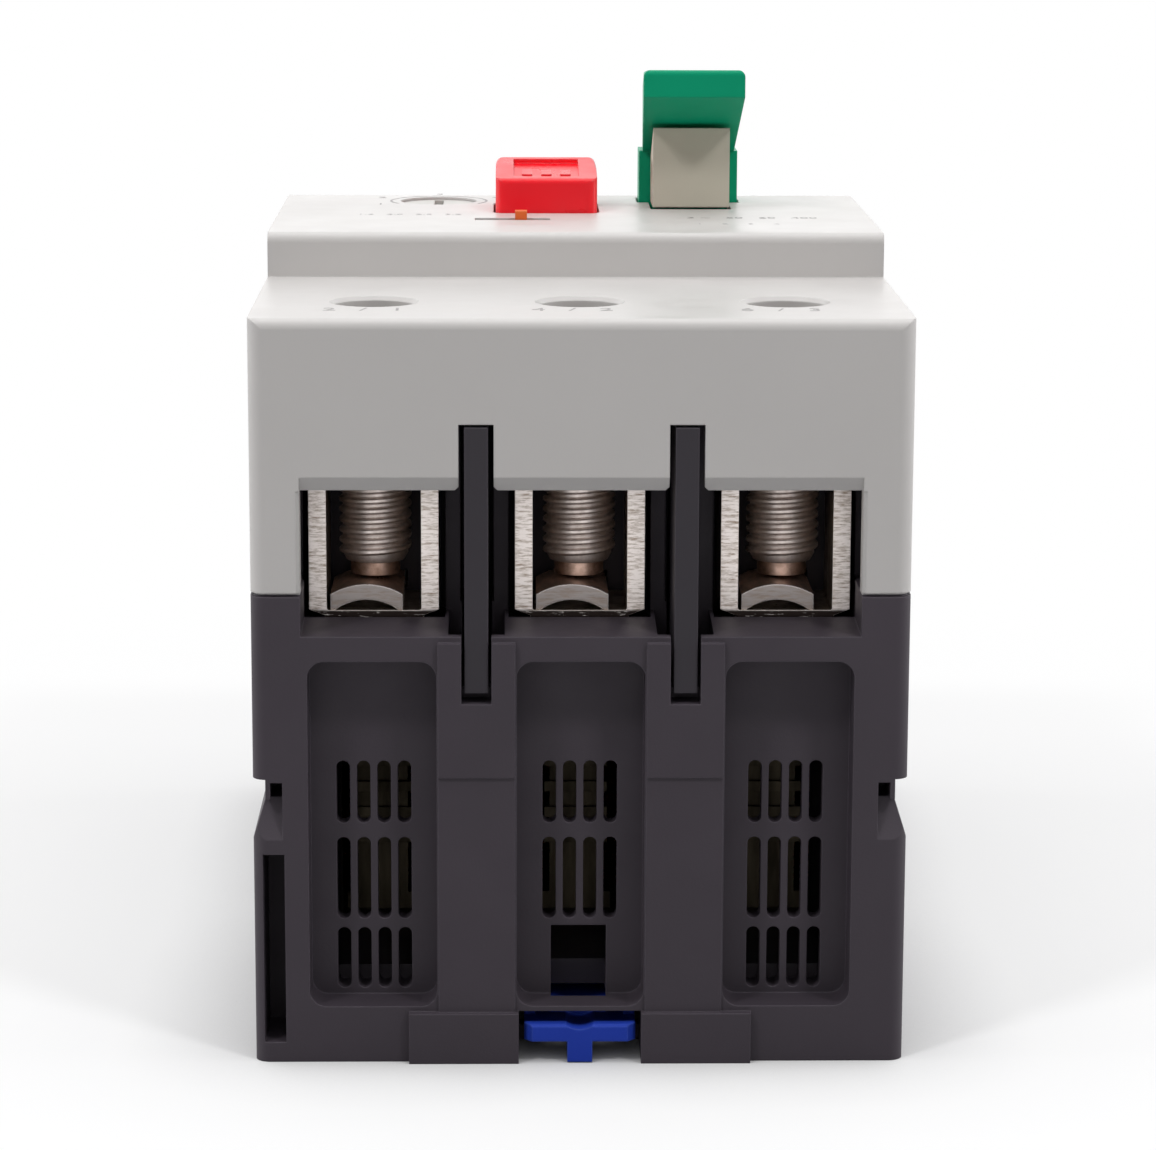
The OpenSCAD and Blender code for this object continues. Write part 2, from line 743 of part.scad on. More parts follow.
// a bowed leaf: its ends bear on the base's lugs and its crown on the clip's rib
module rail_clip_spring() {
    half = clip_w/2 - 0.2;
    bow = clip_travel + 0.2;
    r = (half*half + bow*bow)/(2*bow);
    color("#c9c9c4")
        translate([0, spring_y + bow - r, 0.3])
            linear_extrude(1.5)
                intersection() {
                    difference() {
                        circle(r, $fn = 96);
                        circle(r - 0.4, $fn = 96);
                    }
                    translate([-half, r - bow]) square([2*half, bow + 1]);
                }
}

module start_spring() {
    color("#c9c9c4")
        translate([start_x - 3.6, 16, 0])
            coil_spring(spring_r, spring_wire, deck, start_bottom, spring_turns);
}

module stop_spring() {
    color("#c9c9c4")
        translate([stop_x - 4.2, 6, 0])
            coil_spring(spring_r, spring_wire, deck, stop_bottom, spring_turns);
}

// ---- mechanism ----

// a pair of cheeks with the pivot pin between them
module cheeks(x, w, y, z) {
    for (side = [-1, 1])
        translate([x + side*(w/2 + face_gap + plate_t/2), 0, 0])
            box(-plate_t/2, plate_t/2, y - 4, y + 3.5, deck - 0.5, z + 3.5);
    pin_x(x - w/2 - plate_t, x + w/2 + plate_t, y, z, pin_r);
}

module mechanism_frame() {
    color("#a9a7a2") {
        difference() {
            box(latch_x - 9.4, drive_x + 5.6, drive_y - 4, start_far + 3.4, plate_z, deck);
            box(drive_x - 2.6, drive_x + 2.6, contact_y - carrier_y - 1, contact_y + carrier_y + 1,
                plate_z - 1, deck + 1);
            box(latch_x - 3, latch_x + 8, contact_y - 4, contact_y + 4, plate_z - 1, deck + 1);
        }
        cheeks(drive_x, drive_w, drive_y, drive_z);
        cheeks(latch_x, latch_w, latch_y, latch_z);
    }
}

// an arm from its pivot to its tip along +Y
module lever(x, w, y, z, arm) {
    difference() {
        union() {
            pin_x(x - w/2, x + w/2, y, z, 2.6);
            box(x - w/2, x + w/2, y, y + arm + 1.4, z - lever_h/2, z + lever_h/2);
        }
        pin_x(x - w, x + w, y, z, pin_r + pin_gap);
    }
}

module drive_lever() {
    color("#8f8d88") lever(drive_x, drive_w, drive_y, drive_z, drive_reach);
}

module latch_lever() {
    color("#8f8d88") lever(latch_x, latch_w, latch_y, latch_z, latch_reach);
}

module trip_bar() {
    color("#d8cfae") {
        pin_x(-trip_half, trip_half, trip_y, trip_z, trip_r);
        for (x = poles)
            box(x - 2, x + 2, trip_y - 3.4, trip_y - 1, trip_z - 11, trip_z);
    }
}

module contact_carrier() {
    post_z = drive_z - lever_h/2 - face_gap;
    y0 = contact_y - carrier_y;
    y1 = contact_y + carrier_y;
    color("#7a5a3a") {
        difference() {
            box(-hw + wall + face_gap, hw - wall - face_gap, y0, y1, carrier_z, carrier_top);
            for (x = poles)
                box(x - 3.2, x + 3.2, y0 - 1, y1 + 1, bridge_z, bridge_z + bridge_t + 3.4);
        }
        box(drive_x - 1.8, drive_x + 1.8, contact_y - 1.4, contact_y + 1.4, carrier_top - 0.5, post_z - 1.4);
        pin_x(drive_x - 1.8, drive_x + 1.8, contact_y, post_z - 1.4, 1.4);
    }
}

module contact_bridge(x) {
    color("#b5693a")
        box(x - 2.5, x + 2.5, contact_y - reach - 1.8, contact_y + reach + 1.8,
            bridge_z, bridge_z + bridge_t);
    color("#d0d0d0")
        for (side = [-1, 1])
            translate([x, contact_y + side*reach, bridge_z - tip_h])
                cylinder(r = tip_r, h = tip_h + tip_root, $fn = facets);
}

// one small spring presses each bridge down in its window
module contact_springs() {
    color("#c9c9c4")
        for (x = poles)
            translate([x, contact_y, 0])
                coil_spring(1.6, 0.3, bridge_z + bridge_t, bridge_z + bridge_t + 3.4, 3);
}

// ---- poles ----

// a bent steel cage with a nut in its top; the lower outer corners are sheared off
module cage(x) {
    half = cage_w/2;
    inner = half - cage_t;
    z0 = cage_z;
    color("#c5bab8")
        translate([x, 0, 0])
            difference() {
                along_y(cage_y, cage_y + cage_d)
                    difference() {
                        polygon([[-inner - 0.2, z0 - cage_t], [inner + 0.2, z0 - cage_t],
                            [inner + 0.2, z0 - 0.6], [half, z0 + 0.1], [half, cage_top],
                            [-half, cage_top], [-half, z0 + 0.1], [-inner - 0.2, z0 - 0.6]]);
                        translate([0, (z0 + cage_top - 3.5)/2])
                            rounded(2*inner, cage_top - 3.5 - z0, 0.25);
                    }
                translate([0, screw_y, cage_top - 5])
                    cylinder(r = screw_d/2 + pin_gap, h = 6, $fn = facets);
            }
}

module screw(x) {
    color("#8f8480")
        translate([x, screw_y, screw_z])
            difference() {
                union() {
                    cylinder(r1 = screw_d/2 - 0.9, r2 = screw_d/2, h = 0.9, $fn = facets);
                    translate([0, 0, 0.9]) cylinder(r = screw_d/2, h = screw_l - 0.9, $fn = facets);
                }
                // hexagon socket, and the seat of the pad's stub
                translate([0, 0, screw_l - 4.5]) cylinder(r = 2.9, h = 5, $fn = 6);
                translate([0, 0, -1]) cylinder(r = 1.2 + pin_gap, h = 2.7, $fn = facets);
            }
}

module pad(x) {
    color("#9b918c")
        translate([x, screw_y, pad_z]) {
            cylinder(r = 2.7, h = pad_h - 0.1, $fn = facets);
            cylinder(r = 1.2, h = pad_h + 1.5, $fn = facets);
        }
}

// the arched terminal bar, which runs through the bay's wall and down to its contact or heater
module strap(x, drop_z, inner_y) {
    shift = -0.8;
    flat_y = cage_y + cage_d - 1;
    r = (strap_w*strap_w/4 + strap_rise*strap_rise)/(2*strap_rise);
    color("#a09a94") {
        translate([x + shift, 0, 0])
            along_y(cage_y + 0.2, flat_y)
                intersection() {
                    translate([0, cage_z + strap_t + strap_rise - r]) difference() {
                        circle(r, $fn = 96);
                        circle(r - strap_t, $fn = 96);
                    }
                    translate([-strap_w/2, cage_z]) square([strap_w, strap_t + strap_rise + 1]);
                }
        along_x(x - heater_w/2, x + heater_w/2)
            polygon([[flat_y - 1, bar_z], [flat_y - 1, bar_z + arm_t],
                [-chamber_y + 2.6, bar_z + arm_t], [-chamber_y + 2.6, drop_z + arm_t],
                [inner_y, drop_z + arm_t], [inner_y, drop_z], [-chamber_y + 2.6 - arm_t, drop_z],
                [-chamber_y + 2.6 - arm_t, bar_z]]);
    }
}

module load_strap(x) {
    strap(x, arm_z + 0.7, heater_y);
}

module fixed_tip(x, y) {
    translate([x, y, arm_z + arm_t - tip_root])
        cylinder(r = tip_r, h = tip_h + tip_root, $fn = facets);
}

// the line bar carries the fixed contact
module line_strap(x) {
    mirror([0, 1, 0]) strap(x, arm_z, -contact_y - reach + 3);
    color("#d0d0d0")
        fixed_tip(x, contact_y + reach);
}

module barrier(x) {
    color("#3a353b")
        along_x(x - barrier_t/2, x + barrier_t/2)
            polygon([[-hl, base_h - barrier_drop], [-hl + barrier_d, base_h - barrier_drop],
                [-hl + barrier_d, base_h + barrier_rise - 0.3], [-hl, base_h + barrier_rise - 0.3]]);
}

module trip_coil(x) {
    color("#b5693a")
        translate([x, coil_y, floor_z + 2*coil_wire + 0.4])
            for (k = [0:7])
                translate([0, 0, coil_pitch*k]) rotate_extrude($fn = facets)
                    translate([coil_r, 0]) circle(coil_wire, $fn = 24);
    // the bobbin
    color("#d8cfae")
        translate([x, coil_y, floor_z]) {
            for (z = [0, coil_h - coil_flange])
                translate([0, 0, z]) cylinder(r = flange_r, h = coil_flange, $fn = facets);
            cylinder(r = coil_r - 0.2, h = coil_h, $fn = facets);
        }
    // the bars to the heater and to the fixed contact
    bar_y = coil_y + 3.4;
    color("#b5693a") {
        box(x - 2, x + 2, heater_y + arm_t, coil_y - 4, floor_z + 3, floor_z + 3 + arm_t);
        along_x(x - heater_w/2, x + heater_w/2)
            polygon([[bar_y, floor_z + coil_h - 1], [bar_y + arm_t, floor_z + coil_h - 1],
                [bar_y + arm_t, arm_z], [contact_y - reach + 3, arm_z],
                [contact_y - reach + 3, arm_z + arm_t], [bar_y, arm_z + arm_t]]);
    }
    color("#d0d0d0")
        fixed_tip(x, contact_y - reach);
}

// a bimetal strip with its heater wound round it, standing on the base's floor
module bimetal(x) {
    y = heater_y;
    half = heater_w/2;
    color("#b0a58c") {
        box(x - half, x + half, y, y + arm_t, floor_z, base_h - heater_drop);
        box(x - half - 1, x + half + 1, y, y + heater_foot, floor_z, floor_z + 2);
    }
    color("#9a6a44")
        for (k = [0:5])
            translate([x, y, floor_z + band_z + band_pitch*k])
                box(-half - band_t, half + band_t, -band_t, arm_t + band_t, 0, band_h);
}

// steel plates between two insulating sides, standing on the base's floor
module arc_chute(x) {
    y1 = chamber_y - chute_back;
    y0 = y1 - chute_l;
    top = arm_z - 1.3;
    half = chute_w/2 - 0.3;
    color("#d8cfae")
        for (side = [-1, 1])
            translate([x + side*chute_w/2, 0, 0])
                box(-chute_t/2, chute_t/2, y0, y1, floor_z, top);
    color("#a9a7a2")
        for (z = [floor_z + 4:2.4:top - 2])
            translate([x, 0, z]) linear_extrude(0.9)
                polygon([[-half, y0 + 0.5], [-2.2, y0 + 0.5], [0, y0 + 6], [2.2, y0 + 0.5],
                    [half, y0 + 0.5], [half, y1 - 0.5], [-half, y1 - 0.5]]);
}

base_housing();
front_cover();
housing_screws();
start_button();
padlock_slide();
stop_button();
test_slider();
setting_dial();
rail_clip();
rail_clip_spring();
start_spring();
stop_spring();
mechanism_frame();
drive_lever();
latch_lever();
trip_bar();
contact_carrier();
contact_springs();
for (i = [0:2]) {
    x = poles[i];
    cage(x);
    screw(x);
    pad(x);
    load_strap(x);
    mirror([0, 1, 0]) cage(x);
    mirror([0, 1, 0]) screw(x);
    mirror([0, 1, 0]) pad(x);
    line_strap(x);
    contact_bridge(x);
    trip_coil(x);
    bimetal(x);
    arc_chute(x);
}
for (i = [0:1]) {
    x = barrier_x[i];
    barrier(x);
    mirror([0, 1, 0]) barrier(x);
}
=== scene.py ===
# %% [markdown]
# # A motor protection breaker, dressed for its portrait
# The imported CAD model is the skeleton: 58 nodes that already have the right sizes and joints.
# This lesson loads it, sets up a small product studio, works out one material for each real
# material, and models the few things that CAD left plain: screw threads, helical springs, printed
# figures and the scale round the setting dial. Everything is in metres, in the CAD model's own
# frame: X across the poles, Y from the load end to the line end, Z up to the push buttons.

# %% Load the imported model
import math

import bpy
from mathutils import Matrix, Vector


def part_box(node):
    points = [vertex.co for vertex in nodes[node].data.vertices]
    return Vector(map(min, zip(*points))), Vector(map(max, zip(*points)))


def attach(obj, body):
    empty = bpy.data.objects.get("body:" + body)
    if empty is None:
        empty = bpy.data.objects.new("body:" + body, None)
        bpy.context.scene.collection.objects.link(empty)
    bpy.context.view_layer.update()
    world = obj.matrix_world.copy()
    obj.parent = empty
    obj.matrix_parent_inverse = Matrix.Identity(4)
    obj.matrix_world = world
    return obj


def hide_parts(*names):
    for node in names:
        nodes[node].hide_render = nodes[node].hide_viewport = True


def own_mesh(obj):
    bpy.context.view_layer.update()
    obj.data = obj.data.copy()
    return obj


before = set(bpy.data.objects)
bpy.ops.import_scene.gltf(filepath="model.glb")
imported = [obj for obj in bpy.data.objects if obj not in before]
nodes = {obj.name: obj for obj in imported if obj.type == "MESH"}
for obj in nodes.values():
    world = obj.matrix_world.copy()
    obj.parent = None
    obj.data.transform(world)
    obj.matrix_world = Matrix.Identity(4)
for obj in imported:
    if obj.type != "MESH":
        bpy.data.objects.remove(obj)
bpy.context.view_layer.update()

mm = 0.001

# %% [markdown]
# ## Three helpers
# Colours are chosen as the hex values that a paint chart or a screen shows. Blender's shaders
# count in linear light, so one function turns hex into linear. A second function adds a shader
# node: each thing it is given is either a setting, an input's value, or a socket to link. Writing
# it once keeps every material below short enough to read.

# %% Colour, shader-node and material helpers
def linear(hex_colour):
    """#rrggbb as Blender's linear red, green, blue and alpha."""
    parts = [int(hex_colour[i:i + 2], 16)/255 for i in (1, 3, 5)]
    return [c/12.92 if c <= 0.04045 else ((c + 0.055)/1.055)**2.4 for c in parts] + [1.0]


def add(material, kind, **given):
    """Adds a node. A name such as in1 is an input by its number."""
    tree = material.node_tree
    made = tree.nodes.new("ShaderNode" + kind)
    for name, value in given.items():
        if hasattr(made, name):
            setattr(made, name, value)
            continue
        numbered = name[:2] == "in" and name[2:].isdigit()
        socket = made.inputs[int(name[2:]) if numbered else name.replace("_", " ")]
        if isinstance(value, bpy.types.NodeSocket):
            tree.links.new(value, socket)
        else:
            socket.default_value = value
    return made


def new_material(name):
    """An empty material and its output node."""
    material = bpy.data.materials.new(name)
    material.use_nodes = True
    material.node_tree.nodes.clear()
    return material


print("#808080 in linear light:", [round(c, 3) for c in linear("#808080")[:3]])

# %% [markdown]
# ## The camera
# A studio camera stands well back with a long lens, so that upright edges stay nearly parallel.
# Here that is a 120 mm lens forty centimetres from the end face, looking down 11 degrees.
# The camera's axes are worked out from its three angles, because a matrix says plainly which way
# is right, up and back, where Euler angles depend on their order.

# %% Camera
tilt, turn, lean = math.radians(11.1888), math.radians(-1.0752), math.radians(0.2004)
level_right = Vector((math.cos(turn), math.sin(turn), 0))
level_ahead = Vector((-math.sin(turn), math.cos(turn), 0))
ahead = math.cos(tilt)*level_ahead - math.sin(tilt)*Vector((0, 0, 1))
level_up = math.sin(tilt)*level_ahead + math.cos(tilt)*Vector((0, 0, 1))
right = math.cos(lean)*level_right + math.sin(lean)*level_up
up = -math.sin(lean)*level_right + math.cos(lean)*level_up
lens = bpy.data.cameras.new("studio_camera")
lens.sensor_width = 36
lens.lens = 119.88
lens.clip_start, lens.clip_end = 0.05, 20
camera = bpy.data.objects.new("studio_camera", lens)
bpy.context.scene.collection.objects.link(camera)
place = Matrix((right, up, -ahead)).transposed().to_4x4()
place.translation = Vector((-7.84, -458.24, 132.38))*mm
camera.matrix_world = place
bpy.context.scene.camera = camera
bpy.context.scene.view_settings.view_transform = "Standard"
print("camera looks down", round(math.degrees(tilt), 1), "degrees")

# %% [markdown]
# ## The studio
# The breaker lies on a pale table under a large soft box, with two smaller lamps high at its left
# and right and a low soft box on either side. The overhead box makes the terminal ledges and the
# panel the brightest faces, the two lamps draw the V-shaped shadow under the start button's cap,
# and the low boxes lift the long sides and run a pale line down each upright corner.
#
# The table is a real diffuse plane near the object, so that it takes a shadow, and fades to plain
# white further out. That is done in its material, with Light Path, and not with more light. What
# it throws back up at the object is held down there too, as grey cards laid round an object do,
# or the lower half would be lit from below. An Ambient Occlusion node paints a contact shadow: a
# darker line in the last millimetres beside the object, where the two touch.

# %% Table
bpy.ops.object.select_all(action="DESELECT")
bpy.ops.mesh.primitive_plane_add(size=8, location=(0, 0, -0.02*mm))
table = bpy.context.object
table.name = "table"
white_table = new_material("matt_white_table")
spot = add(white_table, "TexCoord").outputs["Object"]
away = add(white_table, "VectorMath", operation="LENGTH", in0=spot).outputs["Value"]
fade = add(white_table, "MapRange", Value=away, From_Min=0.08, From_Max=0.20, To_Min=0.52,
           interpolation_type="SMOOTHSTEP").outputs["Result"]
path = add(white_table, "LightPath").outputs
seen = add(white_table, "Math", operation="MAXIMUM", in0=path["Is Camera Ray"],
           in1=path["Is Glossy Ray"]).outputs[0]
plain = add(white_table, "Math", operation="MULTIPLY", in0=fade, in1=seen).outputs[0]
# 1 in the open, and less within 16 mm of the object: a painted contact shadow
contact = add(white_table, "AmbientOcclusion", samples=8, Distance=16*mm).outputs["AO"]
plain = add(white_table, "Math", operation="MULTIPLY", in0=plain, in1=contact).outputs[0]
open_tint = add(white_table, "Mix", data_type="RGBA", in0=path["Is Camera Ray"],
                in6=linear("#c4c4c5"), in7=linear("#fbfbfc")).outputs[2]
# painted contact shadow: beside the object the paper is mixed towards a darker grey
paper_tint = add(white_table, "Mix", data_type="RGBA", in0=contact, in6=linear("#7c7a7c"),
                 in7=open_tint).outputs[2]
paper = add(white_table, "BsdfDiffuse", Color=paper_tint)
glow = add(white_table, "Emission", Color=linear("#ffffff"), Strength=1.0)
both = add(white_table, "MixShader", in0=plain, in1=paper.outputs[0], in2=glow.outputs[0])
add(white_table, "OutputMaterial", Surface=both.outputs[0])
table.data.materials.append(white_table)
print("a matt white table")

# %% World and lamps
world = bpy.data.worlds.new("studio_air")
world.use_nodes = True
bpy.context.scene.world = world
world.node_tree.nodes.clear()
path = add(world, "LightPath").outputs
seen = add(world, "Math", operation="MAXIMUM", in0=path["Is Camera Ray"],
           in1=path["Is Glossy Ray"]).outputs[0]
seen = add(world, "Math", operation="MAXIMUM", in0=seen,
           in1=path["Is Transmission Ray"]).outputs[0]
air = add(world, "Background", Color=linear("#ffffff"), Strength=0.04)
# lamps bounce off the backdrop, so in a reflection it is brighter than plain white
over = add(world, "MapRange", Value=path["Is Camera Ray"], To_Min=1.5, To_Max=1.0)
wall = add(world, "Background", Color=linear("#ffffff"), Strength=over.outputs["Result"])
both = add(world, "MixShader", in0=seen, in1=air.outputs[0], in2=wall.outputs[0])
add(world, "OutputWorld", Surface=both.outputs[0])


def soft_box(name, at, look_at, width, watts):
    """A square lamp at a place, aimed at a point."""
    data = bpy.data.lights.new(name, "AREA")
    data.size = width
    data.energy = watts
    lamp = bpy.data.objects.new(name, data)
    bpy.context.scene.collection.objects.link(lamp)
    lamp.location = at
    lamp.rotation_euler = (Vector(look_at) - Vector(at)).to_track_quat("-Z", "Y").to_euler()
    print(name, watts, "W")


soft_box("overhead_box", (0, 0.10, 1.0), (0, 0, 0.05), 0.9, 5.6)
soft_box("left_lamp", (-0.55, -0.60, 0.95), (0, 0, 0.07), 0.16, 3.9)
soft_box("right_lamp", (0.55, -0.60, 0.95), (0, 0, 0.07), 0.16, 3.9)
soft_box("left_box", (-0.95, 0.05, 0.30), (0, 0, 0.05), 0.5, 3.6)
soft_box("right_box", (0.95, 0.05, 0.30), (0, 0, 0.05), 0.5, 3.6)

# %% [markdown]
# ## Moulded plastics
# Every housing piece is injection moulded: hot plastic fills a steel mould whose face was spark
# eroded, which leaves a fine even grain, and the edges come out with a tiny radius that catches a
# line of light. One function makes such a finish from its colour, the size of its grain in
# millimetres and how rough it is. The grain is a bump from fine noise, the slow drift of colour is
# a coarse noise (pigment that flowed a little unevenly), and the Bevel node rounds the normals at
# edges that CAD left sharp. Where the rounded and the true normal differ, the edge colour is also
# painted a touch lighter: a painted highlight.

# %% A moulded finish
def edge_mask(material, round_edge, starts, full):
    """How far a point lies on an edge, from 0 to 1. It starts and is full at these cosines between
    the rounded and the true normal."""
    true = add(material, "NewGeometry").outputs["True Normal"]
    same = add(material, "VectorMath", operation="DOT_PRODUCT", in0=round_edge, in1=true)
    return add(material, "MapRange", Value=same.outputs["Value"], From_Min=starts,
               From_Max=full).outputs["Result"]


def moulded(name, colour, edge_highlight_colour, grain=0.30, depth=0.012, rough=0.5, drift=0.05,
            edge=0.22, shine=0.3):
    """Injection-moulded plastic. grain, depth and edge are in millimetres."""
    finish = new_material(name)
    where = add(finish, "TexCoord").outputs["Object"]
    # pigment drifts over about 14 mm
    flow = add(finish, "TexNoise", Vector=where, Scale=1/(14*mm), Detail=3.0).outputs["Fac"]
    shade = add(finish, "MapRange", Value=flow, From_Min=0.3, From_Max=0.7,
                To_Min=1 - drift, To_Max=1 + drift).outputs["Result"]
    tint = add(finish, "HueSaturation", Color=linear(colour), Value=shade).outputs["Color"]
    round_edge = add(finish, "Bevel", samples=4, Radius=edge*mm).outputs["Normal"]
    # painted highlight: the edges are painted in the lighter edge colour
    painted_edge_highlight = edge_mask(finish, round_edge, 0.99, 0.70)
    skin = add(finish, "Mix", data_type="RGBA", in0=painted_edge_highlight, in6=tint, in7=linear(edge_highlight_colour))
    # spark-eroded grain
    pits = add(finish, "TexNoise", Vector=where, Scale=1/(grain*mm), Detail=2.0,
               Roughness=0.6).outputs["Fac"]
    grainy = add(finish, "Bump", Height=pits, Strength=1.0, Distance=depth*mm, Normal=round_edge)
    # handling leaves it slightly smoother in places
    handled = add(finish, "TexNoise", Vector=where, Scale=1/(6*mm), Detail=4.0).outputs["Fac"]
    dull = add(finish, "MapRange", Value=handled, From_Min=0.3, From_Max=0.7,
               To_Min=rough - 0.05, To_Max=rough + 0.06).outputs["Result"]
    plastic = add(finish, "BsdfPrincipled", Base_Color=skin.outputs[2], Roughness=dull,
                  Normal=grainy.outputs["Normal"], IOR=1.5, Specular_IOR_Level=shine)
    add(finish, "OutputMaterial", Surface=plastic.outputs[0])
    print(name, colour)
    return finish


# Glass-filled polyamide 6: dark, slightly violet, with a visible grain from the glass fibre.
base_polyamide = moulded("glass_filled_polyamide", "#3c363d", "#5d565f", grain=0.34, depth=0.016,
                         rough=0.55, drift=0.07, shine=0.27)
# The barriers are the same polyamide from a smoother mould.
barrier_polyamide = moulded("barrier_polyamide", "#29252b", "#57515a", grain=0.26, depth=0.010,
                            rough=0.50, drift=0.04)
# Polycarbonate and ABS blend: pale warm grey, nearly smooth, low sheen.
cover_blend = moulded("polycarbonate_abs_blend", "#c9c6c4", "#d8d5d3", grain=0.22, depth=0.006,
                      rough=0.37, drift=0.012, shine=0.5)
dial_blend = moulded("pale_polycarbonate", "#c6c4c0", "#d4d1cc", grain=0.2, depth=0.004,
                     rough=0.40, drift=0.02)
# Acetal caps: strong even pigment and a soft shine.
red_acetal = moulded("red_acetal", "#f3021a", "#f4404c", grain=0.18, depth=0.004, rough=0.30,
                     drift=0.03, edge=0.3, shine=0.35)
green_acetal = moulded("green_acetal", "#0a9b72", "#2cae88", grain=0.2, depth=0.005, rough=0.38,
                       drift=0.05, edge=0.3, shine=0.1)
orange_acetal = moulded("orange_acetal", "#e3672a", "#f59661", grain=0.2, depth=0.004, rough=0.42)
blue_polyamide = moulded("blue_polyamide", "#2743b4", "#4f6ac8", grain=0.3, depth=0.012, rough=0.48,
                         drift=0.08, edge=0.3, shine=0.12)
grey_acetal = moulded("grey_acetal", "#c9c2b2", "#d6d0c3", grain=0.2, depth=0.005, rough=0.48,
                      drift=0.03)

# %% [markdown]
# ## Metals
# The cages are bent from zinc-plated steel strip. Their near faces are sheared edges, torn in
# fine lines across the strip, so those faces get streaks; the broad faces are smooth plating
# with a few stains. The screws are turned steel with a thin grey coat of phosphate, satin and a
# little warm. The terminal bars are tinned copper. A metal has no colour of its own under its
# reflection, so the tint goes in Base Color with Metallic at 1. On the bars and the pads the
# faces that look up are a pale brown, and there Metallic falls.

# %% A metal finish
# near black for the sheared faces low on the cages, below the top of the lower bar
lower_bar_black = "#2b2422"


def metal(name, colour, stain, rough=0.35, patch=2.5, stretch=(1, 1, 1), depth=0.01, edge=0.12,
          torn=None, dark_below=None, rim=None, up_face_colour=None):
    """Bare or plated metal. patch is the size of its stains, depth that of its bumps and edge the
    radius of its edges, in mm. torn colours sheared faces, which turn nearly black below
    dark_below; rim colours edges partly worn bare and partly a painted highlight, and crust is
    the pale brown of faces that look up, where Metallic falls."""
    finish = new_material(name)
    where = add(finish, "TexCoord").outputs["Object"]
    drawn = add(finish, "Mapping", Vector=where, Scale=stretch).outputs["Vector"]
    cloud = add(finish, "TexNoise", Vector=drawn, Scale=1/(patch*mm), Detail=5.0,
                Roughness=0.65).outputs["Fac"]
    cover = add(finish, "MapRange", Value=cloud, From_Min=0.35, From_Max=0.68).outputs["Result"]
    tint = add(finish, "Mix", data_type="RGBA", in0=cover, in6=linear(colour),
               in7=linear(stain)).outputs[2]
    rub = add(finish, "MapRange", Value=cloud, From_Min=0.3, From_Max=0.7,
              To_Min=rough - 0.07, To_Max=rough + 0.10).outputs["Result"]
    round_edge = add(finish, "Bevel", samples=4, Radius=edge*mm).outputs["Normal"]
    height, metallic = cloud, 1.0
    if torn:
        # streaks a quarter of a millimetre apart, across the strip, on faces towards either end
        lines = add(finish, "Mapping", Vector=where, Scale=(0.15, 1, 1)).outputs["Vector"]
        streak = add(finish, "TexNoise", Vector=lines, Scale=1/(0.26*mm), Detail=4.0,
                     Roughness=0.7).outputs["Fac"]
        facing = add(finish, "SeparateXYZ", Vector=add(finish, "NewGeometry").outputs["True Normal"])
        end_on = add(finish, "Math", operation="ABSOLUTE", in0=facing.outputs["Y"]).outputs[0]
        end_on = add(finish, "Math", operation="GREATER_THAN", in0=end_on, in1=0.9).outputs[0]
        bright = add(finish, "MapRange", Value=streak, From_Min=0.30, From_Max=0.54).outputs["Result"]
        rip = add(finish, "Mix", data_type="RGBA", in0=bright, in6=linear(stain),
                  in7=linear(torn)).outputs[2]
        if dark_below:
            # below the top of the lower bar the sheared faces turn nearly black
            level = add(finish, "SeparateXYZ", Vector=where).outputs["Z"]
            scale = add(finish, "MapRange", Value=level, From_Min=(dark_below + 0.15)*mm,
                        From_Max=(dark_below - 0.15)*mm).outputs["Result"]
            # a few streaks break through it
            whole = add(finish, "MapRange", Value=streak, From_Min=0.70, From_Max=0.60).outputs["Result"]
            scale = add(finish, "Math", operation="MULTIPLY", in0=scale, in1=whole).outputs[0]
            rip = add(finish, "Mix", data_type="RGBA", in0=scale, in6=rip,
                      in7=linear(lower_bar_black)).outputs[2]
        tint = add(finish, "Mix", data_type="RGBA", in0=end_on, in6=tint, in7=rip).outputs[2]
        height = add(finish, "Mix", data_type="FLOAT", in0=end_on, in2=cloud, in3=streak).outputs[0]
        rub = add(finish, "Mix", data_type="FLOAT", in0=end_on, in2=rub, in3=0.5).outputs[0]
    if rim:
        # rim: edges worn bare in places, and a painted highlight along them
        rubbed_and_lit = edge_mask(finish, round_edge, 0.985, 0.80)
        tint = add(finish, "Mix", data_type="RGBA", in0=rubbed_and_lit, in6=tint, in7=linear(rim)).outputs[2]
        rub = add(finish, "Mix", data_type="FLOAT", in0=rubbed_and_lit, in2=rub, in3=0.6).outputs[0]
    if up_face_colour:
        # faces that look up are a pale brown and less metallic
        facing = add(finish, "SeparateXYZ", Vector=add(finish, "NewGeometry").outputs["True Normal"])
        face_up = add(finish, "Math", operation="GREATER_THAN", in0=facing.outputs["Z"],
                      in1=0.5).outputs[0]
        up_tint = add(finish, "Mix", data_type="RGBA", in0=cover, in6=linear(up_face_colour),
                    in7=linear(stain)).outputs[2]
        tint = add(finish, "Mix", data_type="RGBA", in0=face_up, in6=tint, in7=up_tint).outputs[2]
        metallic = add(finish, "MapRange", Value=face_up, To_Min=1.0, To_Max=0.25).outputs["Result"]
    uneven = add(finish, "Bump", Height=height, Strength=1.0, Distance=depth*mm, Normal=round_edge)
    bare = add(finish, "BsdfPrincipled", Base_Color=tint, Metallic=metallic, Roughness=rub,
               Normal=uneven.outputs["Normal"])
    add(finish, "OutputMaterial", Surface=bare.outputs[0])
    print(name, colour)
    return finish


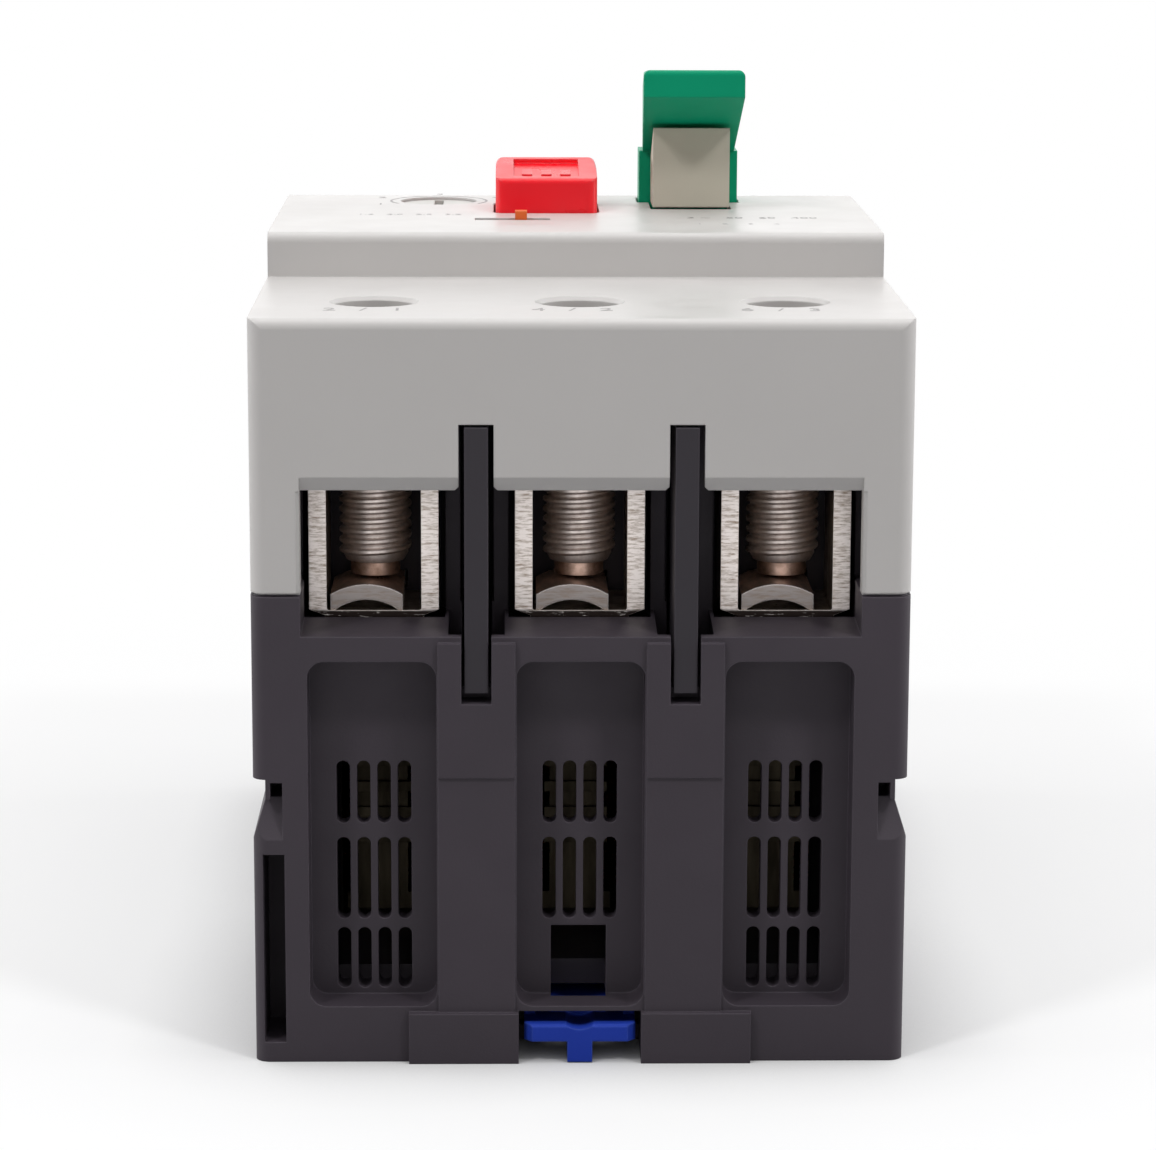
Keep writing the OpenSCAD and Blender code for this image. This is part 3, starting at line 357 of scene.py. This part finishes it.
cage_t = 1.9
lower_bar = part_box("load_cage_1")[0][2]/mm + cage_t  # the top of the bar under the screw
cage_steel = metal("zinc_plated_steel", "#c0b0a0", "#8d7a68", rough=0.34, patch=2.2, depth=0.012,
                   torn="#ebe3df", dark_below=lower_bar, rim="#e6dfd9")
screw_steel = metal("phosphated_screw_steel", "#ddd2cd", "#bfb2ac", rough=0.45, patch=1.2,
                    depth=0.005, edge=0.08)
pad_steel = metal("pressed_pad_steel", "#c9aa9b", "#8f7364", rough=0.42, patch=1.5, up_face_colour="#c9a493")
tinned_bar = metal("tinned_copper_bar", "#c2bab3", "#8f8178", rough=0.34, patch=1.8, edge=0.25,
                   stretch=(1, 0.4, 1), depth=0.03, torn="#9b9491", rim="#fffaf8", up_face_colour="#d9b7a6")
spring_wire = metal("drawn_spring_steel", "#c3c2bd", "#97948e", rough=0.26, patch=0.8)
frame_steel = metal("nickel_plated_steel", "#b3b0aa", "#8c8882", rough=0.30, patch=4)
bolt_steel = metal("zinc_plated_bolt", "#bdb9b2", "#8f8a82", rough=0.32, patch=2)
coil_copper = metal("enamelled_copper_wire", "#b4683a", "#8a4a28", rough=0.28, patch=2)
bridge_copper = metal("silver_faced_copper", "#bd744a", "#94553a", rough=0.33, patch=1.6)
# painted shade: the bimetal, deep behind the vent slots, is made dark brown-grey to stand in for the
# shade it lies in
bimetal_painted_dark = metal("rolled_bimetal_painted_dark", "#5c5446", "#3d372e", rough=0.5, patch=3,
                      stretch=(1, 1, 0.2))
chute_steel = metal("coppered_steel_plates", "#a9a49c", "#86786c", rough=0.35, patch=3)

# %% [markdown]
# ## Insulators
# The trip bar is vulcanised fibre, cut and pressed from sheet: dull, tan, flecked with darker
# strands that lie along the sheet. The contact carrier is pressed phenolic with wood flour in it,
# brown and mottled. Both are the same recipe with other colours, so one function serves: mottled
# colour, long or round flecks and a rough face.

# %% Fibre and phenolic
def pressed(name, colour, fleck, fleck_mm, stretch):
    """Pressed fibre or phenolic. fleck_mm is the size of its flecks, and stretch lengthens them
    along the sheet."""
    finish = new_material(name)
    where = add(finish, "TexCoord").outputs["Object"]
    along = add(finish, "Mapping", Vector=where, Scale=stretch).outputs["Vector"]
    strands = add(finish, "TexNoise", Vector=along, Scale=1/(fleck_mm*mm), Detail=6.0,
                  Roughness=0.7).outputs["Fac"]
    dark = add(finish, "MapRange", Value=strands, From_Min=0.45, From_Max=0.75).outputs["Result"]
    tint = add(finish, "Mix", data_type="RGBA", in0=dark, in6=linear(colour), in7=linear(fleck))
    fuzz = add(finish, "Bump", Height=strands, Strength=1.0, Distance=0.03*mm)
    sheet = add(finish, "BsdfPrincipled", Base_Color=tint.outputs[2], Roughness=0.68,
                Normal=fuzz.outputs["Normal"])
    add(finish, "OutputMaterial", Surface=sheet.outputs[0])
    print(name, colour)
    return finish


tan_fibre = pressed("vulcanised_fibre", "#d5cbab", "#a8976c", 0.8, (0.15, 1, 1))
brown_phenolic = pressed("pressed_phenolic", "#6f4c30", "#3f2817", 0.6, (1, 1, 1))

# %% [markdown]
# ## Dressing the CAD solids
# A CAD solid whose shape is right keeps it and only gets its finish. One table says which finish
# each node takes: names that end in a number share a line.

# %% Give each node its finish
finishes = {
    "base_housing": base_polyamide, "front_cover": cover_blend, "housing_screws": bolt_steel,
    "start_button": green_acetal, "padlock_slide": grey_acetal, "stop_button": red_acetal,
    "test_slider": orange_acetal, "setting_dial": dial_blend, "rail_clip": blue_polyamide,
    "rail_clip_spring": spring_wire, "start_spring": spring_wire, "stop_spring": spring_wire,
    "mechanism_frame": frame_steel, "drive_lever": frame_steel, "latch_lever": frame_steel,
    "trip_bar": tan_fibre, "contact_carrier": brown_phenolic, "contact_springs": spring_wire,
    "load_cage": cage_steel, "line_cage": cage_steel, "load_screw": screw_steel,
    "line_screw": screw_steel, "load_pad": pad_steel, "line_pad": pad_steel,
    "load_strap": tinned_bar, "line_strap": tinned_bar, "load_barrier": barrier_polyamide,
    "line_barrier": barrier_polyamide, "contact_bridge": bridge_copper, "trip_coil": coil_copper,
    "bimetal": bimetal_painted_dark, "arc_chute": chute_steel,
}
for name, solid in nodes.items():
    finish = finishes.get(name) or finishes[name.rsplit("_", 1)[0]]
    solid.data.materials.clear()
    solid.data.materials.append(finish)
print("dressed", len(nodes), "nodes")

# %% [markdown]
# ## Threaded terminal screws
# CAD keeps each clamping screw a smooth cylinder, because six fine threads would be most of its
# faces. A real one is a socket set screw with a 1.12 mm pitch, and its thread is what shows in the
# cage. It could be a spiral curve with a bevel profile, but a Screw modifier on a small section
# gives the exact pitch. The core is a cylinder with a chamfered tip and a hexagon socket, and the
# ridge winds round it; near the tip the ridge follows the chamfer's cone, as a lathe leaves it.
# One screw is modelled and the other five are copies.

# %% Helpers for selecting and winding
def deselected():
    """Object mode with nothing selected."""
    if bpy.context.object and bpy.context.object.mode != "OBJECT":
        bpy.ops.object.mode_set(mode="OBJECT")
    bpy.ops.object.select_all(action="DESELECT")


def edit_faces(piece, chosen):
    """Edit mode, with only the faces selected for which chosen(face) is true."""
    bpy.ops.object.mode_set(mode="EDIT")
    bpy.ops.mesh.select_mode(type="FACE")
    bpy.ops.mesh.select_all(action="DESELECT")
    bpy.ops.object.mode_set(mode="OBJECT")
    for face in piece.data.polygons:
        face.select = chosen(face)
    bpy.ops.object.mode_set(mode="EDIT")


def wind(section, turns, rise, per_turn):
    """Sweeps a closed section round Z with a Screw modifier, in so many steps per turn, and
    closes the two ends."""
    sweep = section.modifiers.new("sweep", "SCREW")
    sweep.axis = "Z"
    sweep.angle = 2*math.pi*turns
    sweep.screw_offset = rise
    sweep.steps = sweep.render_steps = round(per_turn*turns)
    bpy.ops.object.modifier_apply(modifier="sweep")
    bpy.ops.object.mode_set(mode="EDIT")
    bpy.ops.mesh.select_mode(type="EDGE")
    bpy.ops.mesh.select_all(action="DESELECT")
    bpy.ops.mesh.select_non_manifold()
    bpy.ops.mesh.fill_holes(sides=0)
    bpy.ops.mesh.select_all(action="SELECT")
    bpy.ops.mesh.normals_make_consistent(inside=False)
    bpy.ops.object.mode_set(mode="OBJECT")


print("three helpers")

# %% Model one screw's core
low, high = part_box("load_screw_1")
axis = ((low[0] + high[0])/2, (low[1] + high[1])/2)
foot, head = low[2], high[2]
screw_r = (high[0] - low[0])/2
pitch = 1.12*mm
core_r = screw_r - 0.40*mm
tip_h, tip_in = 0.7*mm, 0.35*mm       # the tip's chamfer
flat_in = 0.5*mm                      # the ring inside it
rim_w, step_w = 0.4*mm, 0.5*mm        # the head's rim, and the step inside it
socket_d, socket_r = 4.0*mm, 2.5*mm   # its depth, and from its middle to a flat

deselected()
bpy.ops.mesh.primitive_cylinder_add(vertices=48, radius=core_r, depth=head - foot,
                                    location=(axis[0], axis[1], (foot + head)/2))
core = bpy.context.object
core.name = "screw_core"
bpy.ops.object.transform_apply(location=True, rotation=True, scale=True)
# the tip's flat, and a ring where its chamfer begins
edit_faces(core, lambda face: face.normal.z < -0.9)
bpy.ops.mesh.inset(thickness=flat_in)
bpy.ops.mesh.select_all(action="SELECT")
bpy.ops.mesh.bisect(plane_co=(axis[0], axis[1], foot + tip_h), plane_no=(0, 0, 1))
# the head's rim, then the socket
edit_faces(core, lambda face: face.normal.z > 0.9)
bpy.ops.mesh.inset(thickness=rim_w)
bpy.ops.mesh.inset(thickness=step_w)
bpy.ops.mesh.extrude_region_move(TRANSFORM_OT_translate={"value": (0, 0, -socket_d)})
bpy.ops.object.mode_set(mode="OBJECT")
# the round socket is squeezed into six flats, and the foot into the chamfer's cone
for corner in core.data.vertices:
    x, y = corner.co.x - axis[0], corner.co.y - axis[1]
    r = math.hypot(x, y)
    if r < core_r - rim_w - step_w/2 and corner.co.z > (foot + head)/2:
        turn_by = (math.atan2(y, x) + math.pi/6) % (math.pi/3) - math.pi/6
        flat = socket_r/math.cos(turn_by)
        corner.co.x, corner.co.y = axis[0] + x/r*flat, axis[1] + y/r*flat
    if corner.co.z < foot + 0.05*mm:
        tip = 1 - tip_in/core_r
        corner.co.x, corner.co.y = axis[0] + x*tip, axis[1] + y*tip
print("core faces:", len(core.data.polygons))

# %% Wind the thread's ridge round it
deselected()
bpy.ops.mesh.primitive_circle_add(vertices=6, radius=0.5*mm, location=(0, 0, 0))
ridge = bpy.context.object
ridge.name = "screw_ridge"
end_gap = 0.48*mm         # from either end of the screw to the middle of the ridge
turns = (head - foot - 2*end_gap)/pitch
per_turn = 32
root_r = core_r - 0.1*mm  # rooted a little inside the core
# a worn crest with rounded shoulders
section = [(screw_r, 0.13*mm), (screw_r - 0.08*mm, 0.25*mm), (root_r, 0.44*mm),
           (root_r, -0.44*mm), (screw_r - 0.08*mm, -0.25*mm), (screw_r, -0.13*mm)]
for corner, (r, z) in zip(ridge.data.vertices, section):
    corner.co = (r, 0, z)
wind(ridge, turns, pitch*turns, per_turn)
last = len(ridge.data.vertices)//len(section) - 1
for corner in ridge.data.vertices:
    corner.co.z += foot + end_gap
    x, y = corner.co.x, corner.co.y
    r = math.hypot(x, y)
    # the crest grows out of the core over the first half turn and sinks back over the last,
    # and the whole section follows the tip's chamfer
    ring = corner.index//len(section)
    grown = min(1, ring/(per_turn/2), (last - ring)/(per_turn/2))
    most = root_r + (screw_r - root_r)*grown
    squeeze = tip_in*max(0, 1 - (corner.co.z - foot)/tip_h)
    fit = (min(r, most) - squeeze)/r
    corner.co.x, corner.co.y = x*fit + axis[0], y*fit + axis[1]
print("ridge turns:", round(turns, 1), "faces:", len(ridge.data.polygons))

# %% Join them, and copy the screw to its six places
deselected()
ridge.select_set(True)
core.select_set(True)
bpy.context.view_layer.objects.active = core
bpy.ops.object.join()
bpy.ops.object.shade_smooth_by_angle(angle=math.radians(28))
core.data.materials.clear()
core.data.materials.append(screw_steel)
first_mesh = core.data
for end in ("load", "line"):
    for number in (1, 2, 3):
        node = f"{end}_screw_{number}"
        a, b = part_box(node)
        shift = Vector(((a[0] + b[0])/2 - axis[0], (a[1] + b[1])/2 - axis[1], a[2] - foot))
        mesh = first_mesh.copy()
        mesh.transform(Matrix.Translation(shift))
        screw = bpy.data.objects.new(f"{end}_terminal_screw_{number}", mesh)
        bpy.context.scene.collection.objects.link(screw)
        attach(screw, node)
        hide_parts(node)
bpy.data.objects.remove(core)
print("six threaded screws")

# %% [markdown]
# ## Return springs
# Under each push button stands a helical spring of 0.7 mm steel wire. CAD holds it at its free
# length; a pressed button shortens it. Here it is wound at that free length: a small round
# section, swept by a Screw modifier between the plate and the button. Its foot stays on the plate.

# %% Wind a return spring
def return_spring(node):
    """A helical spring in the CAD spring's place, at its free length."""
    low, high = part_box(node)
    wire_r = 0.35*mm
    coil_r = (high[0] - low[0])/2 - wire_r
    length = high[2] - low[2]
    rings = 8
    deselected()
    bpy.ops.mesh.primitive_circle_add(vertices=10, radius=wire_r, location=(coil_r, 0, 0),
                                      rotation=(math.pi/2, 0, 0))
    spring = bpy.context.object
    spring.name = node.replace("spring", "return_spring")
    bpy.ops.object.transform_apply(location=True, rotation=True, scale=True)
    wind(spring, rings, length - 2*wire_r, per_turn=24)
    foot_at = Vector(((low[0] + high[0])/2, (low[1] + high[1])/2, low[2] + wire_r))
    spring.data.transform(Matrix.Translation(foot_at))
    bpy.ops.object.shade_smooth_by_angle(angle=math.radians(40))
    spring.data.materials.clear()
    spring.data.materials.append(spring_wire)
    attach(spring, "housing")
    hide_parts(node)
    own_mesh(spring)
    print(spring.name, round(length/mm, 1), "mm long")


return_spring("start_spring")
return_spring("stop_spring")

# %% [markdown]
# ## Printed figures
# The ledges carry each terminal's number and its pole's, and the panel a scale round the setting
# dial. On the real cover they are pad printed: a film of ink about a hundredth of a millimetre
# thick. Text objects are the quick way to draw figures; each is given that thickness, made a
# mesh, and only then put in its place, so that its object stays at the origin. The ink lies on
# the surface and its grey is uneven, because the pad never presses quite evenly.

# %% Ink
def ink(name, colour, faint):
    """Pad-printing ink, a little thin in places."""
    finish = new_material(name)
    where = add(finish, "TexCoord").outputs["Object"]
    press = add(finish, "TexNoise", Vector=where, Scale=1/(0.7*mm), Detail=3.0).outputs["Fac"]
    thin = add(finish, "MapRange", Value=press, From_Min=0.4, From_Max=0.7).outputs["Result"]
    tint = add(finish, "Mix", data_type="RGBA", in0=thin, in6=linear(colour), in7=linear(faint))
    film = add(finish, "BsdfPrincipled", Base_Color=tint.outputs[2], Roughness=0.45)
    add(finish, "OutputMaterial", Surface=film.outputs[0])
    return finish


grey_ink = ink("grey_printing_ink", "#807b7c", "#a5a1a1")
pale_ink = ink("pale_printing_ink", "#a9a5a8", "#c4c0c1")
ink_t = 0.012  # the film's thickness in mm
print("two inks")


def figures(name, words, x, y, face_z, height, spread=1.0, finish=grey_ink):
    """Prints words centred at x, y on the face at height face_z, all in millimetres."""
    deselected()
    bpy.ops.object.text_add(location=(0, 0, 0))
    figure = bpy.context.object
    figure.name = name
    figure.data.body = words
    figure.data.align_x = "CENTER"
    figure.data.align_y = "CENTER"
    figure.data.size = height*1.4*mm  # a figure stands 1/1.4 of this high
    figure.data.space_character = spread
    figure.data.extrude = ink_t/2*mm
    figure.data.resolution_u = 3
    bpy.ops.object.convert(target="MESH")
    bpy.ops.object.mode_set(mode="EDIT")
    bpy.ops.mesh.select_all(action="SELECT")
    bpy.ops.mesh.remove_doubles(threshold=0.001*mm)
    bpy.ops.mesh.normals_make_consistent(inside=False)
    bpy.ops.object.mode_set(mode="OBJECT")
    figure.data.transform(Matrix.Translation(Vector((x, y, face_z + ink_t))*mm))
    figure.data.materials.clear()
    figure.data.materials.append(finish)
    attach(figure, "housing")


# %% Terminal numbers on the ledges
panel_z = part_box("front_cover")[1][2]/mm
panel_rise, figures_y, aside = 5.0, 51.8, 0.9
ledge_z = panel_z - panel_rise
for number in (1, 2, 3):
    a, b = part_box(f"load_cage_{number}")
    pole_x = (a[0] + b[0])/2/mm
    for end, side, first in (("load", -1, 2*number), ("line", 1, 2*number - 1)):
        figures(f"{end}_number_{number}", f"{first} / {number}", pole_x - aside, figures_y*side,
                ledge_z, 2.2, spread=1.5)
print("six terminal numbers at", round(ledge_z, 1), "mm")

# %% The scale round the setting dial
a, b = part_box("setting_dial")
dial_x, dial_y = (a[0] + b[0])/2/mm, (a[1] + b[1])/2/mm
ring_r, figures_r = 5.7, 8.1
first_mark, last_mark, past_mark = 210, -30, 3  # degrees
for step in range(5):
    angle = math.radians(first_mark + (last_mark - first_mark)*step/4)
    figures(f"scale_figure_{step + 1}", str(step + 1), dial_x + figures_r*math.cos(angle),
            dial_y + figures_r*math.sin(angle), panel_z, 1.5)

deselected()
bpy.ops.mesh.primitive_circle_add(vertices=96, radius=ring_r*mm, fill_type="NOTHING")
scale_ring = bpy.context.object
scale_ring.name = "dial_scale"
bpy.ops.object.mode_set(mode="EDIT")
bpy.ops.mesh.select_all(action="SELECT")
bpy.ops.mesh.extrude_region_move()
bpy.ops.transform.resize(value=(1.05, 1.05, 1))
# the scale leaves a gap at the near side, between its two end marks
edit_faces(scale_ring, lambda face: first_mark + past_mark
           < math.degrees(math.atan2(face.center.y, face.center.x)) % 360
           < last_mark + 360 - past_mark)
bpy.ops.mesh.delete(type="FACE")
bpy.ops.mesh.select_all(action="SELECT")
bpy.ops.mesh.extrude_region_move(TRANSFORM_OT_translate={"value": (0, 0, ink_t*mm)})
bpy.ops.mesh.select_all(action="SELECT")
bpy.ops.mesh.normals_make_consistent(inside=False)
bpy.ops.object.mode_set(mode="OBJECT")
scale_ring.data.transform(Matrix.Translation(Vector((dial_x, dial_y, panel_z + ink_t/2))*mm))
scale_ring.data.materials.append(grey_ink)
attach(scale_ring, "housing")
print("dial scale faces:", len(scale_ring.data.polygons))

# %% Rows of plain figures on the panel
figures("left_row_1", "1.6   2.0   2.5   3.2", -19.4, -2.0, panel_z, 1.2, finish=pale_ink)
figures("right_row_1", "3 ~   50   60   400", 21.0, -5.5, panel_z, 1.5)
figures("right_row_2", "1   2   3   4", 19.0, -12.3, panel_z, 1.1, spread=1.3, finish=pale_ink)
print("rows of figures")
